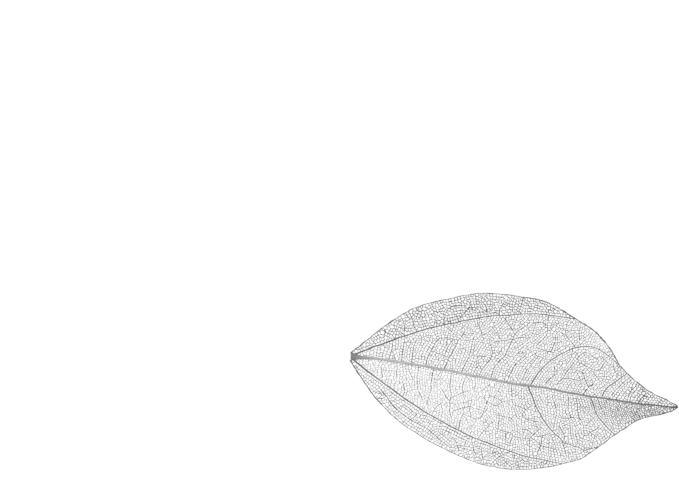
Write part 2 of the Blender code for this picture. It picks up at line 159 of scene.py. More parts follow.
# The stout strands of the net: some that are seen, and others that leave the midrib
SEEN_STRANDS = (
    ((9.6, -7.6), (12.8, -10.7), (18.9, -14.5), (24.3, -16.6), (27.8, -18.7), (31.0, -20.4)),
    ((61.7, -0.6), (62.5, -2.0), (63.1, -3.7), (63.4, -5.6), (64.9, -7.8), (65.7, -9.3), (65.9, -11.6)),
)
STRAND_START = 4  # of the random draws
STRAND_STEP = (2.8, 5.4)
STRAND_REACH = (5.0, 19.0)
STRAND_KNEE = 1.4
STRAND_WANDER = 0.24
LAST_STRANDS = {1: 84.0, -1: 65.0}
STRAND_APART = 1.6  # least distance from the other strands, and from the main veins
STRAND_GAP = 1.2
FEWEST_KNEES = 3  # of a strand, and of a twig before it may end at a line
STRAY_COST = 0.5  # of a way through the net, for each millimetre off the straight one

# The twigs, each grown from a line through a place that is far from every line
TWIG_START = 14  # of the random draws
TWIG_AREOLE = 0.9  # least areole, as a share of the common size, where a twig is grown
TWIG_ROOMS = (2.3, 1.35)  # from every line to where a stout twig and then a fine one are grown through
TWIG_TRIES = 1.1  # between the places that are tried
BLADE_REACH = 24.0  # past the widest place of the blade
TWIG_SLANT = 0.75
TWIG_STRIDE = 0.5
TWIG_WANDER = 0.14
TWIG_SIDE = 0.42  # least distance to the next line, as a share of that to the twig's start
TWIG_CLEAR = 2.0  # from its start, where this distance grows no more
LONGEST_TWIG = 5.5

# The veins of the net: joined, ranked and drawn straight
SHORTEST_SIDE = 0.17  # of an areole, before its ends are joined
FOLLOWING = 0.7  # least cosine between a vein and its column, to rank as one along it
PULLS = (6.0, 8.0, 5.0, 4.0, 2.0, 0.6)  # on a main vein, strands, stout twigs, fine ones, along and across
SETTLE_TURNS = 4
SETTLE_SHARE = 0.42

# How stout they are, by the same ranks
HALF_WIDTHS = (0.050, 0.100, 0.082, 0.062, 0.0495, 0.0436)
WIDTH_SPREAD = 0.29
COMMON_AREOLE = 0.93  # width of one with veins of the common width, as a share of the size
SIZE_GAINS = (0.7, 1.5)  # least and most that the width of its areoles gives a vein
STOUT_GAINS = (0.0, 0.4, 0.6, 0.8, 1.0, 1.3)  # how much each rank follows what comes next
STRIP_GAIN = 0.26  # how much stouter they are in the outer strips
STOUT_TIP = (0.52, 68.0, 88.0)  # how much stouter they grow towards the tip, from and to these places
STOUT_PLACES = (  # a place, its reach and the gain
    ((90.0, 0.0), 1.5, 0.5), ((88.3, -0.9), 1.0, 0.5), ((66.5, 14.8), 4.0, -0.30), ((80.0, 1.4), 3.0, 0.12),
)
SLENDER_BASE = (0.30, 52.0, 34.0)  # how much finer they are below the midrib near the base
KNOTS = ((39.0, -11.6), (45.2, -14.7), (63.1, -3.7), (66.7, -14.9), (70.3, 12.0), (72.6, 9.0), (80.5, 2.2))
KNOT_REACH = 0.55
KNOT_EDGE = 3.0  # where a knot ends, as a share of this reach
KNOT_STOUTNESS = 1.1

# Their own form
VEIN_BOW = 0.05
FILLET = 0.022
LONGEST_MITRE = 3.0  # in half widths
SHALLOW_TURN = 0.17  # sine of a turn that needs no true mitre
MITRE_ROOM = 0.45  # how far a mitre may reach along the veins beside it
HEIGHT_SHARE = 1.15  # of a vein's height in its width, and of its sides in this height
SIDE_SHARE = 0.5
NET_HEIGHT = 0.30  # of the net's middle over the leaf's underside
NET_WAVER = 0.0175  # of its nodes up and down
SPUR_SHARE = 0.26  # of the areoles with a vein that ends freely inside
SPUR_LENGTH = (0.40, 0.75)
SPUR_ROOM = 0.2  # least distance from its root to the middle of the areole
SPUR_KNEE = 0.5  # how long it is past its knee, as a share of what comes before
SPUR_BEND = 0.14
SPUR_WIDTH = 0.036
SPUR_END = 0.010  # half of its blunt end, before the width is added

# Ribs along the main veins: half widths at even steps from the base, how uneven they are, over how
# many steps, and the ridges round them
RIBS = {
    "midrib": ((0.38, 0.35, 0.33, 0.31, 0.295, 0.26, 0.235, 0.18), 0.035, 25, 7),
    "upper lateral": ((0.21, 0.17, 0.14, 0.12, 0.10), 0.07, 7, 5),
    "lower lateral": ((0.21, 0.17, 0.145, 0.13, 0.10), 0.07, 7, 5),
    "upper margin": ((0.16, 0.11, 0.10, 0.10, 0.13, 0.155, 0.135, 0.12), 0.20, 3, 3),
    "lower margin": ((0.17, 0.11, 0.086, 0.088, 0.086, 0.10, 0.125, 0.14), 0.20, 3, 3),
    "upper branch 1": ((0.17, 0.13, 0.11, 0.09), 0.08, 5, 4),
    "upper branch 2": ((0.16, 0.14, 0.12), 0.08, 5, 4),
    "lower branch 1": ((0.18, 0.15, 0.12, 0.10), 0.08, 5, 4),
    "lower branch 2": ((0.15, 0.14, 0.11), 0.08, 5, 4),
}
RIB_SIDES = 14
RIB_RIDGE = 0.07
RIB_TWIST = 3.0  # half turns of the ridges along a rib
BASE_FLARE = (0.72, 2.0)  # of the midrib sideways at its cut base, and how far up it reaches

# How the real lines stray from the smooth ones: (how far, over what length), and bends in place
DRIFTS = ((0.06, 16.0), (0.045, 6.5), (0.035, 2.8), (0.02, 1.4))
DRIFT_START = 5  # of the random draws
MIDRIB_BENDS = (  # where, and the push across
    (0.0, 0.0), (40.0, 0.0), (53.0, 0.40), (59.0, 0.28), (65.0, 0.26), (74.0, 0.12), (82.0, 0.10),
    (88.0, 0.26),
)
MIDRIB_BEND_REACH = 5.0
BENDS = (  # a place, how far round it, and the push
    ((88.6, -1.3), 1.1, (0.0, -0.42)), ((89.4, 0.8), 0.9, (0.15, 0.40)), ((82.5, -3.8), 2.6, (0.0, 0.30)),
    ((61.2, -13.6), 1.1, (0.0, -0.50)), ((66.5, -14.8), 0.7, (0.0, -0.25)),
    ((64.9, -14.6), 0.8, (0.0, 0.22)), ((79.7, -4.9), 0.9, (0.05, 0.20)), ((82.4, 2.9), 0.8, (0.0, 0.18)),
    ((72.9, 9.2), 0.7, (-0.06, -0.06)),
)

# Light and floor, with places in metres
TABLE_GLOW = 1.02
SKY_GLOW = 1.0
KEY_POWER = 6.0
KEY_SIZE = 0.8
KEY_PLACE = (-0.5, 0.5, 1.0)
FLOOR_REACH = 2.0

# The fibre: its greys, its noises (scale, how far drawn out, detail) and the depths of its relief,
# in metres
NET_GREYS = (0.075, 0.155)
NET_PATCHES = (260.0, 1.0, 4.0)
NET_GRAIN = (6000.0, 1.0, 3.0)
NET_RELIEF = 0.00002
MIDRIB_GREYS = (  # where along the leaf, and the grey there
    (0.0, 0.16), (7.0, 0.39), (34.0, 0.38), (52.0, 0.275), (70.0, 0.19), (88.0, 0.08),
)
MIDRIB_SHADES = (0.72, 1.25)  # how dark and how pale its strands are
MIDRIB_GRAIN = (5200.0, 14.0, 3.0)
MIDRIB_RELIEF = 0.00006
RELIEF_STRENGTH = 0.5
NOISE_ROUGHNESS = 0.6
NOISE_RANGE = (0.3, 0.7)  # that most of the noise lies in
FIBRE_SURFACE = {"Roughness": 0.78, "Specular IOR Level": 0.25}


def smooth_line(places):
    """Return evenly spaced points on a smooth curve through the places."""
    knots = np.array(places)
    gaps = np.hypot(*np.diff(knots, axis=0).T)
    along = np.concatenate(([0.0], np.cumsum(gaps)))
    slopes = np.gradient(knots, along, axis=0)
    at = np.linspace(0.0, along[-1], int(along[-1] / LINE_STEP) + 1)
    piece = np.clip(np.searchsorted(along, at, side="right") - 1, 0, len(gaps) - 1)
    share = ((at - along[piece]) / gaps[piece])[:, None]
    width = gaps[piece][:, None]
    start = (1 + 2 * share) * (1 - share) ** 2 * knots[piece]
    start += share * (1 - share) ** 2 * width * slopes[piece]
    end = share ** 2 * (3 - 2 * share) * knots[piece + 1]
    end += share ** 2 * (share - 1) * width * slopes[piece + 1]
    return start + end


LINES = {name: smooth_line(places) for name, places in MAIN_VEINS.items()}
CROSSED_LINES = [line[::CROSSED_STEP] for name, line in LINES.items() if name != "midrib"]
CROSSED_PLACES = np.concatenate(CROSSED_LINES)
CROSSED_WAYS = np.concatenate([np.gradient(line, axis=0) for line in CROSSED_LINES])


def ease(share):
    """Rise smoothly from 0 to 1 while the share does."""
    share = np.clip(share, 0.0, 1.0)
    return share * share * (3.0 - 2.0 * share)


def ease_between(start, end, u):
    """Rise smoothly from 0 to 1 between two places."""
    return ease((u - start) / (end - start))


def left_of(ways):
    """Return ways turned a quarter to the left."""
    return np.stack((-ways[..., 1], ways[..., 0]), axis=-1)


def gaps_from(place, points):
    """Return the distances of points from a place."""
    return np.hypot(points[:, 0] - place[0], points[:, 1] - place[1])


def sides_of(ring):
    """Return each thing in a ring with the one that follows it."""
    return list(zip(ring, ring[1:] + ring[:1]))


def area_of(points):
    """Return the area inside a ring of points."""
    x, y = points.T
    return 0.5 * abs(float(np.dot(x, np.roll(y, -1)) - np.dot(y, np.roll(x, -1))))


def middle_of(points):
    """Return the middle of the area inside a ring of points."""
    double = sum_x = sum_y = 0.0
    x0, y0 = points[0]
    for (x1, y1), (x2, y2) in sides_of(points):
        cross = (x1 - x0) * (y2 - y0) - (x2 - x0) * (y1 - y0)
        double += cross
        sum_x += cross * (x1 + x2 - 2 * x0)
        sum_y += cross * (y1 + y2 - 2 * y0)
    return x0 + sum_x / (3 * double), y0 + sum_y / (3 * double)


def across(name, u):
    """Return v of a vein at u."""
    return np.interp(u, *LINES[name].T)


def nearest_on(name, place):
    """Return the point of a main vein that is nearest to a place."""
    return LINES[name][int(np.argmin(gaps_from(place, LINES[name])))]


def onto_line(name, place):
    """Return the place on a main vein that is nearest to a place, between its points too."""
    line = LINES[name]
    nearest = int(np.argmin(gaps_from(place, line)))
    spots = []
    for first in (nearest - 1, nearest):
        if 0 <= first < len(line) - 1:
            start = line[first]
            way = line[first + 1] - start
            share = float(np.dot(np.subtract(place, start), way) / np.dot(way, way))
            spots.append(tuple((start + min(1.0, max(0.0, share)) * way).tolist()))
    return min(spots, key=lambda spot: math.dist(spot, place))


def clear_of_veins(place, gap):
    """Tell whether a place is at least the gap away from every main vein."""
    return all(math.dist(nearest_on(name, place), place) >= gap for name in LINES)


def panel_of(place):
    """Name the panel between main veins round a place: (side, in the outer strip, branches passed)."""
    u, v = place
    if not (across("lower margin", u) < v < across("upper margin", u) and BASE[0] < u < TIP[0]):
        return None
    side = "upper" if v > across("midrib", u) else "lower"
    strip = u < LINES[side + " lateral"][-1][0] and abs(v) > abs(across(side + " lateral", u))
    passed = 0
    for number in (1, 2):
        name = "%s branch %d" % (side, number)
        first, last = LINES[name][[0, -1], 0]
        if u > last or (u > first and abs(v) < abs(across(name, u))):
            passed = number
    return side, strip, passed


def vein_between(one, other):
    """Name the line that separates two panels, or None inside one panel."""
    if one == other:
        return None
    if one is None or other is None:
        return (one or other)[0] + " margin"
    if one[0] != other[0]:
        return "midrib"
    if one[1] != other[1]:
        return one[0] + " lateral"
    return "%s branch %d" % (one[0], max(one[2], other[2]))


def outer_seeds(seeds):
    """Mirror the seeds near the margins over them, and close the leaf off at both ends and far out."""
    ring = [(BASE[0] - AREOLE_SIZE, BASE[1]), (TIP[0] + AREOLE_SIZE, TIP[1])]
    for turn in np.linspace(0.0, 2.0 * math.pi, FAR_SEEDS, endpoint=False):
        ring.append((TIP[0] / 2 + TIP[0] * math.cos(turn), TIP[0] * math.sin(turn)))
    for place in seeds:
        for name in ("upper margin", "lower margin"):
            near = nearest_on(name, place)
            mirrored = (2 * near[0] - place[0], 2 * near[1] - place[1])
            if math.dist(near, place) < MIRROR_REACH * AREOLE_SIZE and panel_of(mirrored) is None:
                ring.append(mirrored)
    return ring


class Net:
    """A net of areoles round seeds: its nodes, its meshes, and the vein that each side belongs to."""

    def __init__(self, seeds):
        self.seeds = seeds
        places = seeds + outer_seeds(seeds)
        self.panels = [panel_of(place) for place in seeds] + [None] * (len(places) - len(seeds))
        self.triangulate(places)
        self.find_meshes()
        self.find_veins()
        self.draw_onto_lines()

    def triangulate(self, places):
        """Join the seeds by triangles. Each becomes a node of the net, at its middle."""
        made = delaunay_2d_cdt([Vector(place) for place in places], [], [], 0, SAME_PLACE)
        source = [ids[0] for ids in made[3]]
        triangles = [tuple(source[corner] for corner in face) for face in made[2]]
        self.triangles = [t for t in triangles if min(t) < len(self.seeds)]
        self.nodes = np.array([self.node_in([places[corner] for corner in t]) for t in self.triangles])

    def node_in(self, corners):
        """Return the place that is as far from each corner of a triangle of seeds."""
        (ax, ay), (bx, by), (cx, cy) = corners
        bx, by, cx, cy = bx - ax, by - ay, cx - ax, cy - ay
        double = 2 * (bx * cy - by * cx)
        if abs(double) < TINY:
            return np.mean(corners, axis=0)
        b_square = bx * bx + by * by
        c_square = cx * cx + cy * cy
        x = ax + (cy * b_square - by * c_square) / double
        y = ay + (bx * c_square - cx * b_square) / double
        return np.array((x, y))

    def find_meshes(self):
        """List for each seed the nodes round it, anticlockwise."""
        around = [[] for _ in self.seeds]
        for node, triangle in enumerate(self.triangles):
            for corner in triangle:
                if corner < len(self.seeds):
                    around[corner].append(node)
        self.meshes = []
        for (u, v), nodes in zip(self.seeds, around):
            turn = {node: math.atan2(self.nodes[node][1] - v, self.nodes[node][0] - u) for node in nodes}
            self.meshes.append(sorted(nodes, key=turn.get))

    def find_veins(self):
        """Name the main vein of each side, and those of each node."""
        self.veins = {}
        self.node_veins = [set() for _ in self.triangles]
        for seed, ring in enumerate(self.meshes):
            for one, other in sides_of(ring):
                neighbour = (set(self.triangles[one]) & set(self.triangles[other]) - {seed}).pop()
                name = vein_between(self.panels[seed], self.panels[neighbour])
                self.veins[frozenset((one, other))] = name
                if name:
                    self.node_veins[one].add(name)
                    self.node_veins[other].add(name)

    def draw_onto_lines(self):
        """Draw the nodes of main veins onto their lines, and some to where the lines end."""
        held = {}
        for side in ("upper", "lower"):
            end = LINES[side + " lateral"][-1]
            pair = {side + " lateral", side + " margin"}
            meeting = [node for node, names in enumerate(self.node_veins) if pair <= names]
            held[min(meeting, key=lambda node: math.dist(self.nodes[node], end))] = end
        for node, names in enumerate(self.node_veins):
            if node in held:
                self.nodes[node] = held[node]
            elif "midrib" in names and any(name.endswith("margin") for name in names):
                self.nodes[node] = TIP if self.nodes[node][0] > TIP[0] / 2 else BASE
            elif names:
                line = min(names, key=lambda name: (VEIN_KINDS.index(name.split(" ", 1)[-1]), name))
                self.nodes[node] = onto_line(line, self.nodes[node])

    def evened_seeds(self, share, paired):
        """Return the seeds moved some way to the middles of their areoles, with large areoles parted.

        Seeds in pairs move less, and are returned also on their own.
        """
        moved = []
        still_paired = set()
        for seed, panel, ring in zip(self.seeds, self.panels, self.meshes):
            corners = self.nodes[ring]
            middle = np.array(middle_of(corners.tolist()))
            size = areole_size(seed)
            area = area_of(corners)
            pull = share * PAIRED_SHARE if seed in paired else share
            pull *= min(1.0, size / AREOLE_SIZE) ** DENSE_CALM
            place = tuple((seed + pull * (middle - seed)).tolist())
            if seed in paired:
                still_paired.add(place)
            elif area < SMALLEST_AREOLE * size * size:
                continue
            elif area > LARGEST_AREOLE * size * size:
                half = max(corners - middle, key=lambda way: math.hypot(*way)) * PART_REACH
                parts = [tuple((middle + way).tolist()) for way in (half, -half)]
                if all(panel_of(part) == panel for part in parts):
                    moved += parts
                    continue
            moved.append(place)
        return moved + self.seeds_in_gaps(), still_paired

    def seeds_in_gaps(self):
        """Return new seeds at the nodes that are far from every seed."""
        added = []
        for node, place in enumerate(self.nodes):
            size = areole_size(place)
            far = math.dist(place, self.seeds[min(self.triangles[node])]) >= FARTHEST_NODE * size
            if self.node_veins[node] or not far or size < LEAST_EVENED * AREOLE_SIZE:
                continue
            if panel_of(place) and clear_of_veins(place, AREOLE_VEIN_GAP * size):
                if all(math.dist(place, other) > NEAREST_AREOLE * size for other in added):
                    added.append(tuple(place.tolist()))
        return added


def surface(u, v):
    """Return the height of the leaf's underside at places."""
    reach = np.hypot((u - REST_MIDDLE[0]) / REST_REACH[0], (v - REST_MIDDLE[1]) / REST_REACH[1])
    beyond = np.maximum(0.0, reach - 1.0)
    lift = EDGE_LIFT * beyond * beyond / (1.0 + EDGE_LIFT_EASE * beyond)
    phase = 2.0 * math.pi * u / WAVE_LENGTH + np.where(v > 0, WAVE_LAG, 0.0)
    wave = WAVE_HEIGHT * ease(beyond / WAVE_EASE) * ease(np.abs(v) / WAVE_REACH) * (1.0 + np.sin(phase))
    tip = TIP_LIFT * ease_between(TIP_LIFT_START, TIP[0], u)
    hump = np.exp(-((u - FOLD_MIDDLE) / FOLD_REACH) ** 2)
    fold = np.minimum(FOLD_DEPTH, tip) * hump * ease((across("midrib", u) - v) / FOLD_WIDTH)
    height = REST_GAP + lift + wave + tip - fold
    for low_u, low_v in LOW_POINTS:
        far = np.minimum(1.0, np.hypot(u - low_u, v - low_v) / LOW_POINT_REACH)
        height = height * (1.0 - (1.0 - far * far) ** 2)
    return height


def upward(u, v):
    """Return the unit vectors square to the leaf at places."""
    slope_u = (surface(u + SLOPE_STEP, v) - surface(u - SLOPE_STEP, v)) / (2 * SLOPE_STEP)
    slope_v = (surface(u, v + SLOPE_STEP) - surface(u, v - SLOPE_STEP)) / (2 * SLOPE_STEP)
    up = np.stack((-slope_u, -slope_v, np.ones_like(slope_u)), axis=1)
    return up / np.linalg.norm(up, axis=1)[:, None]


def drift(places):
    """Return places moved a little, as a grown leaf strays from smooth lines."""
    draw = np.random.default_rng(DRIFT_START)
    moved = places.copy()
    for reach, length in DRIFTS:
        for axis in (0, 1):
            for turn, phase in draw.uniform(0.0, 2.0 * math.pi, (3, 2)):
                along = places[:, 0] * math.cos(turn) + places[:, 1] * math.sin(turn)
                moved[:, axis] += reach / math.sqrt(3) * np.sin(2.0 * math.pi * along / length + phase)
    bends = np.array(MIDRIB_BENDS)
    moved[:, 1] += np.interp(places[:, 0], *bends.T) * np.exp(-(places[:, 1] / MIDRIB_BEND_REACH) ** 2)
    for middle, reach, push in BENDS:
        near = np.exp(-(gaps_from(middle, places) / reach) ** 2)
        moved += near[:, None] * np.array(push)
    return moved


def on_leaf(places, heights):
    """Return points at heights over the leaf's underside, square to it, in metres round the origin."""
    u, v = drift(places).T
    foot = np.stack((u - LEAF_MIDDLE[0], v - LEAF_MIDDLE[1], surface(u, v)), axis=1)
    return (foot + heights[:, None] * upward(u, v)) * METRES


def leans_at(roots, out, side):
    """Return how far columns run forward, by their roots on the midrib and the way out from it."""
    grown = ease_between(LEAN_STARTS[side], TIP[0], roots)
    lean = AREOLE_LEAN[0] + (AREOLE_LEAN[1] - AREOLE_LEAN[0]) * grown
    return lean + 2 * out * (AREOLE_CURVE[0] + (AREOLE_CURVE[1] - AREOLE_CURVE[0]) * grown)


def column_ways(places, leans, side):
    """Return the ways that columns run at places: leaning forward, and squarely up to main veins."""
    ways = np.stack((leans, np.full(len(leans), side)), axis=1)
    ways /= np.hypot(*ways.T)[:, None]
    gaps = np.hypot(places[:, :1] - CROSSED_PLACES[:, 0], places[:, 1:] - CROSSED_PLACES[:, 1])
    along = CROSSED_WAYS[np.argmin(gaps, axis=1)]
    square = left_of(along) / np.hypot(*along.T)[:, None]
    facing = np.sum(square * ways, axis=1)[:, None]
    share = SQUARE_SHARE * ease(1.0 - np.min(gaps, axis=1) / SQUARE_REACH)[:, None] * facing ** 2
    ways += share * (np.sign(facing) * square - ways)
    turn = np.arctan2(ways[:, 1], ways[:, 0])
    for reach, length, way, start in COLUMN_BENDS:
        along = places[:, 0] * math.cos(way) + places[:, 1] * math.sin(way)
        turn += reach * np.sin(2.0 * math.pi * along / length + start)
    return np.stack((np.cos(turn), np.sin(turn)), axis=1)


def trace_columns(roots, side):
    """Return the places along the column of areoles that leaves the midrib at each root."""
    roots = np.array(roots)
    places = np.stack((roots, across("midrib", roots) + COLUMN_START * side), axis=1)
    traced = [places]
    for _ in range(int(COLUMN_LENGTH / COLUMN_TRACE_STEP)):
        out = np.abs(places[:, 1] - across("midrib", places[:, 0]))
        places = places + COLUMN_TRACE_STEP * column_ways(places, leans_at(roots, out, side), side)
        traced.append(places)
    return np.stack(traced, axis=1)


def areole_size(place):
    """Return the distance between the middles of areoles at a place."""
    u, v = place
    common = AREOLE_SIZE * (1.0 + WIDE_SHARE * float(ease(1.0 - u / WIDE_REACH)))
    if v > across("midrib", u):
        share, *ends = WIDE_TIP
        return common * (1.0 + share * float(ease_between(*ends, u)))
    far = math.hypot((u - DENSE_MIDDLE[0]) / DENSE_REACH[0], (v - DENSE_MIDDLE[1]) / DENSE_REACH[1])
    return common * (1.0 - DENSE_SHARE * float(ease(DENSE_EDGE - far)))


def strand_along(column, drawn, draw):
    """Return the places on a strand that leaves the midrib along a column, clear of the other strands."""
    count = int(draw.uniform(*STRAND_REACH) / COLUMN_TRACE_STEP)
    shift = 0.0
    places = []
    for u, v in column[:count:round(STRAND_KNEE / COLUMN_TRACE_STEP)]:
        place = (u + shift, v)
        if places and not (panel_of(place) and clear_of_veins(place, STRAND_GAP)):
            break
        if np.min(gaps_from(place, drawn)) < STRAND_APART:
            break
        places.append(place)
        shift += draw.gauss(0.0, STRAND_WANDER)
    return places


def make_strands():
    """Return the stout strands of the net, as smooth lines."""
    draw = random.Random(STRAND_START)
    strands = [smooth_line(places) for places in SEEN_STRANDS]
    for side in (1, -1):
        roots = [draw.uniform(*STRAND_STEP)]
        while roots[-1] < LAST_STRANDS[side]:
            roots.append(roots[-1] + draw.uniform(*STRAND_STEP))
        for column in trace_columns(roots, side):
            places = strand_along(column, np.concatenate(strands), draw)
            if len(places) >= FEWEST_KNEES:
                strands.append(smooth_line(places))
    return strands


def grow_twig(start, turn, drawn, draw):
    """Return the places on a twig that leaves a start one way and ends at the next line."""
    places = [tuple(start)]
    while len(places) * TWIG_STRIDE < LONGEST_TWIG:
        turn += draw.gauss(0.0, TWIG_WANDER)
        u, v = places[-1]
        place = (u + TWIG_STRIDE * math.cos(turn), v + TWIG_STRIDE * math.sin(turn))
        gaps = gaps_from(place, drawn)
        nearest = int(np.argmin(gaps))
        if len(places) >= FEWEST_KNEES and gaps[nearest] < TWIG_STRIDE:
            return places + [tuple(drawn[nearest])]
        if gaps[nearest] < TWIG_SIDE * min(math.dist(place, start), TWIG_CLEAR):
            return None
        places.append(place)
    return places


def make_twigs(strands):
    """Return the stout twigs and the fine ones, each grown through a place that is far from every line."""
    draw = random.Random(TWIG_START)
    drawn = np.concatenate(list(LINES.values()) + strands)
    columns = np.arange(0.0, TIP[0], TWIG_TRIES)
    grid = itertools.product(columns, np.arange(-BLADE_REACH, BLADE_REACH, TWIG_TRIES))
    tries = [place for place in grid if panel_of(place) and areole_size(place) > TWIG_AREOLE * AREOLE_SIZE]
    groups = []
    for room in TWIG_ROOMS:
        draw.shuffle(tries)
        twigs = []
        for place in tries:
            gaps = gaps_from(place, drawn)
            start = drawn[int(np.argmin(gaps))]
            if np.min(gaps) < room:
                continue
            turn = math.atan2(place[1] - start[1], place[0] - start[0])
            places = grow_twig(start, turn + draw.uniform(-TWIG_SLANT, TWIG_SLANT), drawn, draw)
            if places:
                twigs.append(smooth_line(places))
                drawn = np.concatenate((drawn, twigs[-1]))
        groups.append(twigs)
    return groups


class AreoleSeeds:
    """Seeds of the areoles, kept by squares so that the near ones are found fast."""

    def __init__(self, strands):
        self.draw = random.Random(AREOLE_START)
        self.places = []
        self.squares = {}
        for line in [line for name, line in LINES.items() if "branch" in name] + strands:
            self.pair(line)
        self.paired = set(self.places)
        for side in ("upper", "lower"):
            self.fill_strip(side)
        self.fill_columns()
        self.fill_gaps()

    def add(self, place, nearest):
        """Add a seed if it lies on the leaf, clear of the veins and of the other seeds."""
        size = areole_size(place)
        column = int(place[0] // AREOLE_SIZE)
        row = int(place[1] // AREOLE_SIZE)
        for square in ((column + x, row + y) for x in (-1, 0, 1) for y in (-1, 0, 1)):
            if any(math.dist(place, other) < nearest * size for other in self.squares.get(square, ())):
                return
        if panel_of(place) and clear_of_veins(place, AREOLE_VEIN_GAP * size):
            self.places.append(place)
            self.squares.setdefault((column, row), []).append(place)

    def add_near(self, place, size):
        """Add a seed a little off a place."""
        u, v = (float(way) + self.draw.gauss(0.0, AREOLE_JITTER) * size for way in place)
        self.add((u, v), NEAREST_AREOLE)

    def pair(self, line):
        """Seed both sides of a line at the same distance, so that a vein runs along it."""
        ways = np.gradient(line, axis=0)
        n = 1
        while n < len(line) - 1:
            size = areole_size(line[n])
            for side in (1, -1):
                reach = side * AREOLE_REACH * size * left_of(ways[n] / np.hypot(*ways[n]))
                self.add(tuple((line[n] + reach).tolist()), NEAREST_PAIRED)
            n += max(1, round(size / LINE_STEP))

    def fill_strip(self, side):
        """Seed rows across the strip between a lateral vein and the margin."""
        lateral = LINES[side + " lateral"]
        n, left_out = STRIP_ENDS
        while n < len(lateral) - left_out:
            way = nearest_on(side + " margin", lateral[n]) - lateral[n]
            size = areole_size(lateral[n])
            count = max(1, round(math.hypot(*way) / size))
            for share in (np.arange(count) + 0.5) / count:
                self.add_near(lateral[n] + share * way, size)
            n += round(size / LINE_STEP)

    def fill_columns(self):
        """Seed columns that leave the midrib and bend towards the tip, evenly between main veins."""
        roots = [FIRST_COLUMN]
        while roots[-1] < TIP[0]:
            slant = math.hypot(1.0, float(leans_at(roots[-1], 0.0, 1) + leans_at(roots[-1], 0.0, -1)) / 2)
            size = areole_size((roots[-1], BLADE_REACH))
            roots.append(roots[-1] + size * slant * (1.0 + self.draw.gauss(0.0, AREOLE_JITTER)))
        for side in (1, -1):
            for column in trace_columns(roots, side):
                self.fill_between(column)

    def fill_between(self, places):
        """Seed one column, as evenly as may be in each panel that it runs through."""
        panels = [panel_of(place) for place in places]
        for panel, group in itertools.groupby(range(len(places)), panels.__getitem__):
            inside = list(group)
            if panel:
                self.fill_stretch(places[inside[0]:inside[-1] + 2])

    def fill_stretch(self, places):
        """Seed one stretch of a column, leaving a part of a step at each end."""
        sizes = np.array([areole_size(place) for place in places[1:]])
        along = np.concatenate(([0.0], np.cumsum(np.hypot(*np.diff(places, axis=0).T) / sizes)))
        count = max(1, round(float(along[-1])))
        end = along[-1] / count * COLUMN_END
        for at in np.linspace(end, along[-1] - end, count):
            place = [np.interp(at, along, ways) for ways in places.T]
            self.add_near(place, float(np.interp(at, along[1:], sizes)))

    def fill_gaps(self):
        """Seed what gaps are left, so that no areole is much larger than the others."""
        step = AREOLE_SIZE * AREOLE_GAP_STEP
        for u in np.arange(0.0, TIP[0], step):
            for v in np.arange(float(across("lower margin", u)), float(across("upper margin", u)), step):
                self.add((float(u), float(v)), NEAREST_GAP_AREOLE)


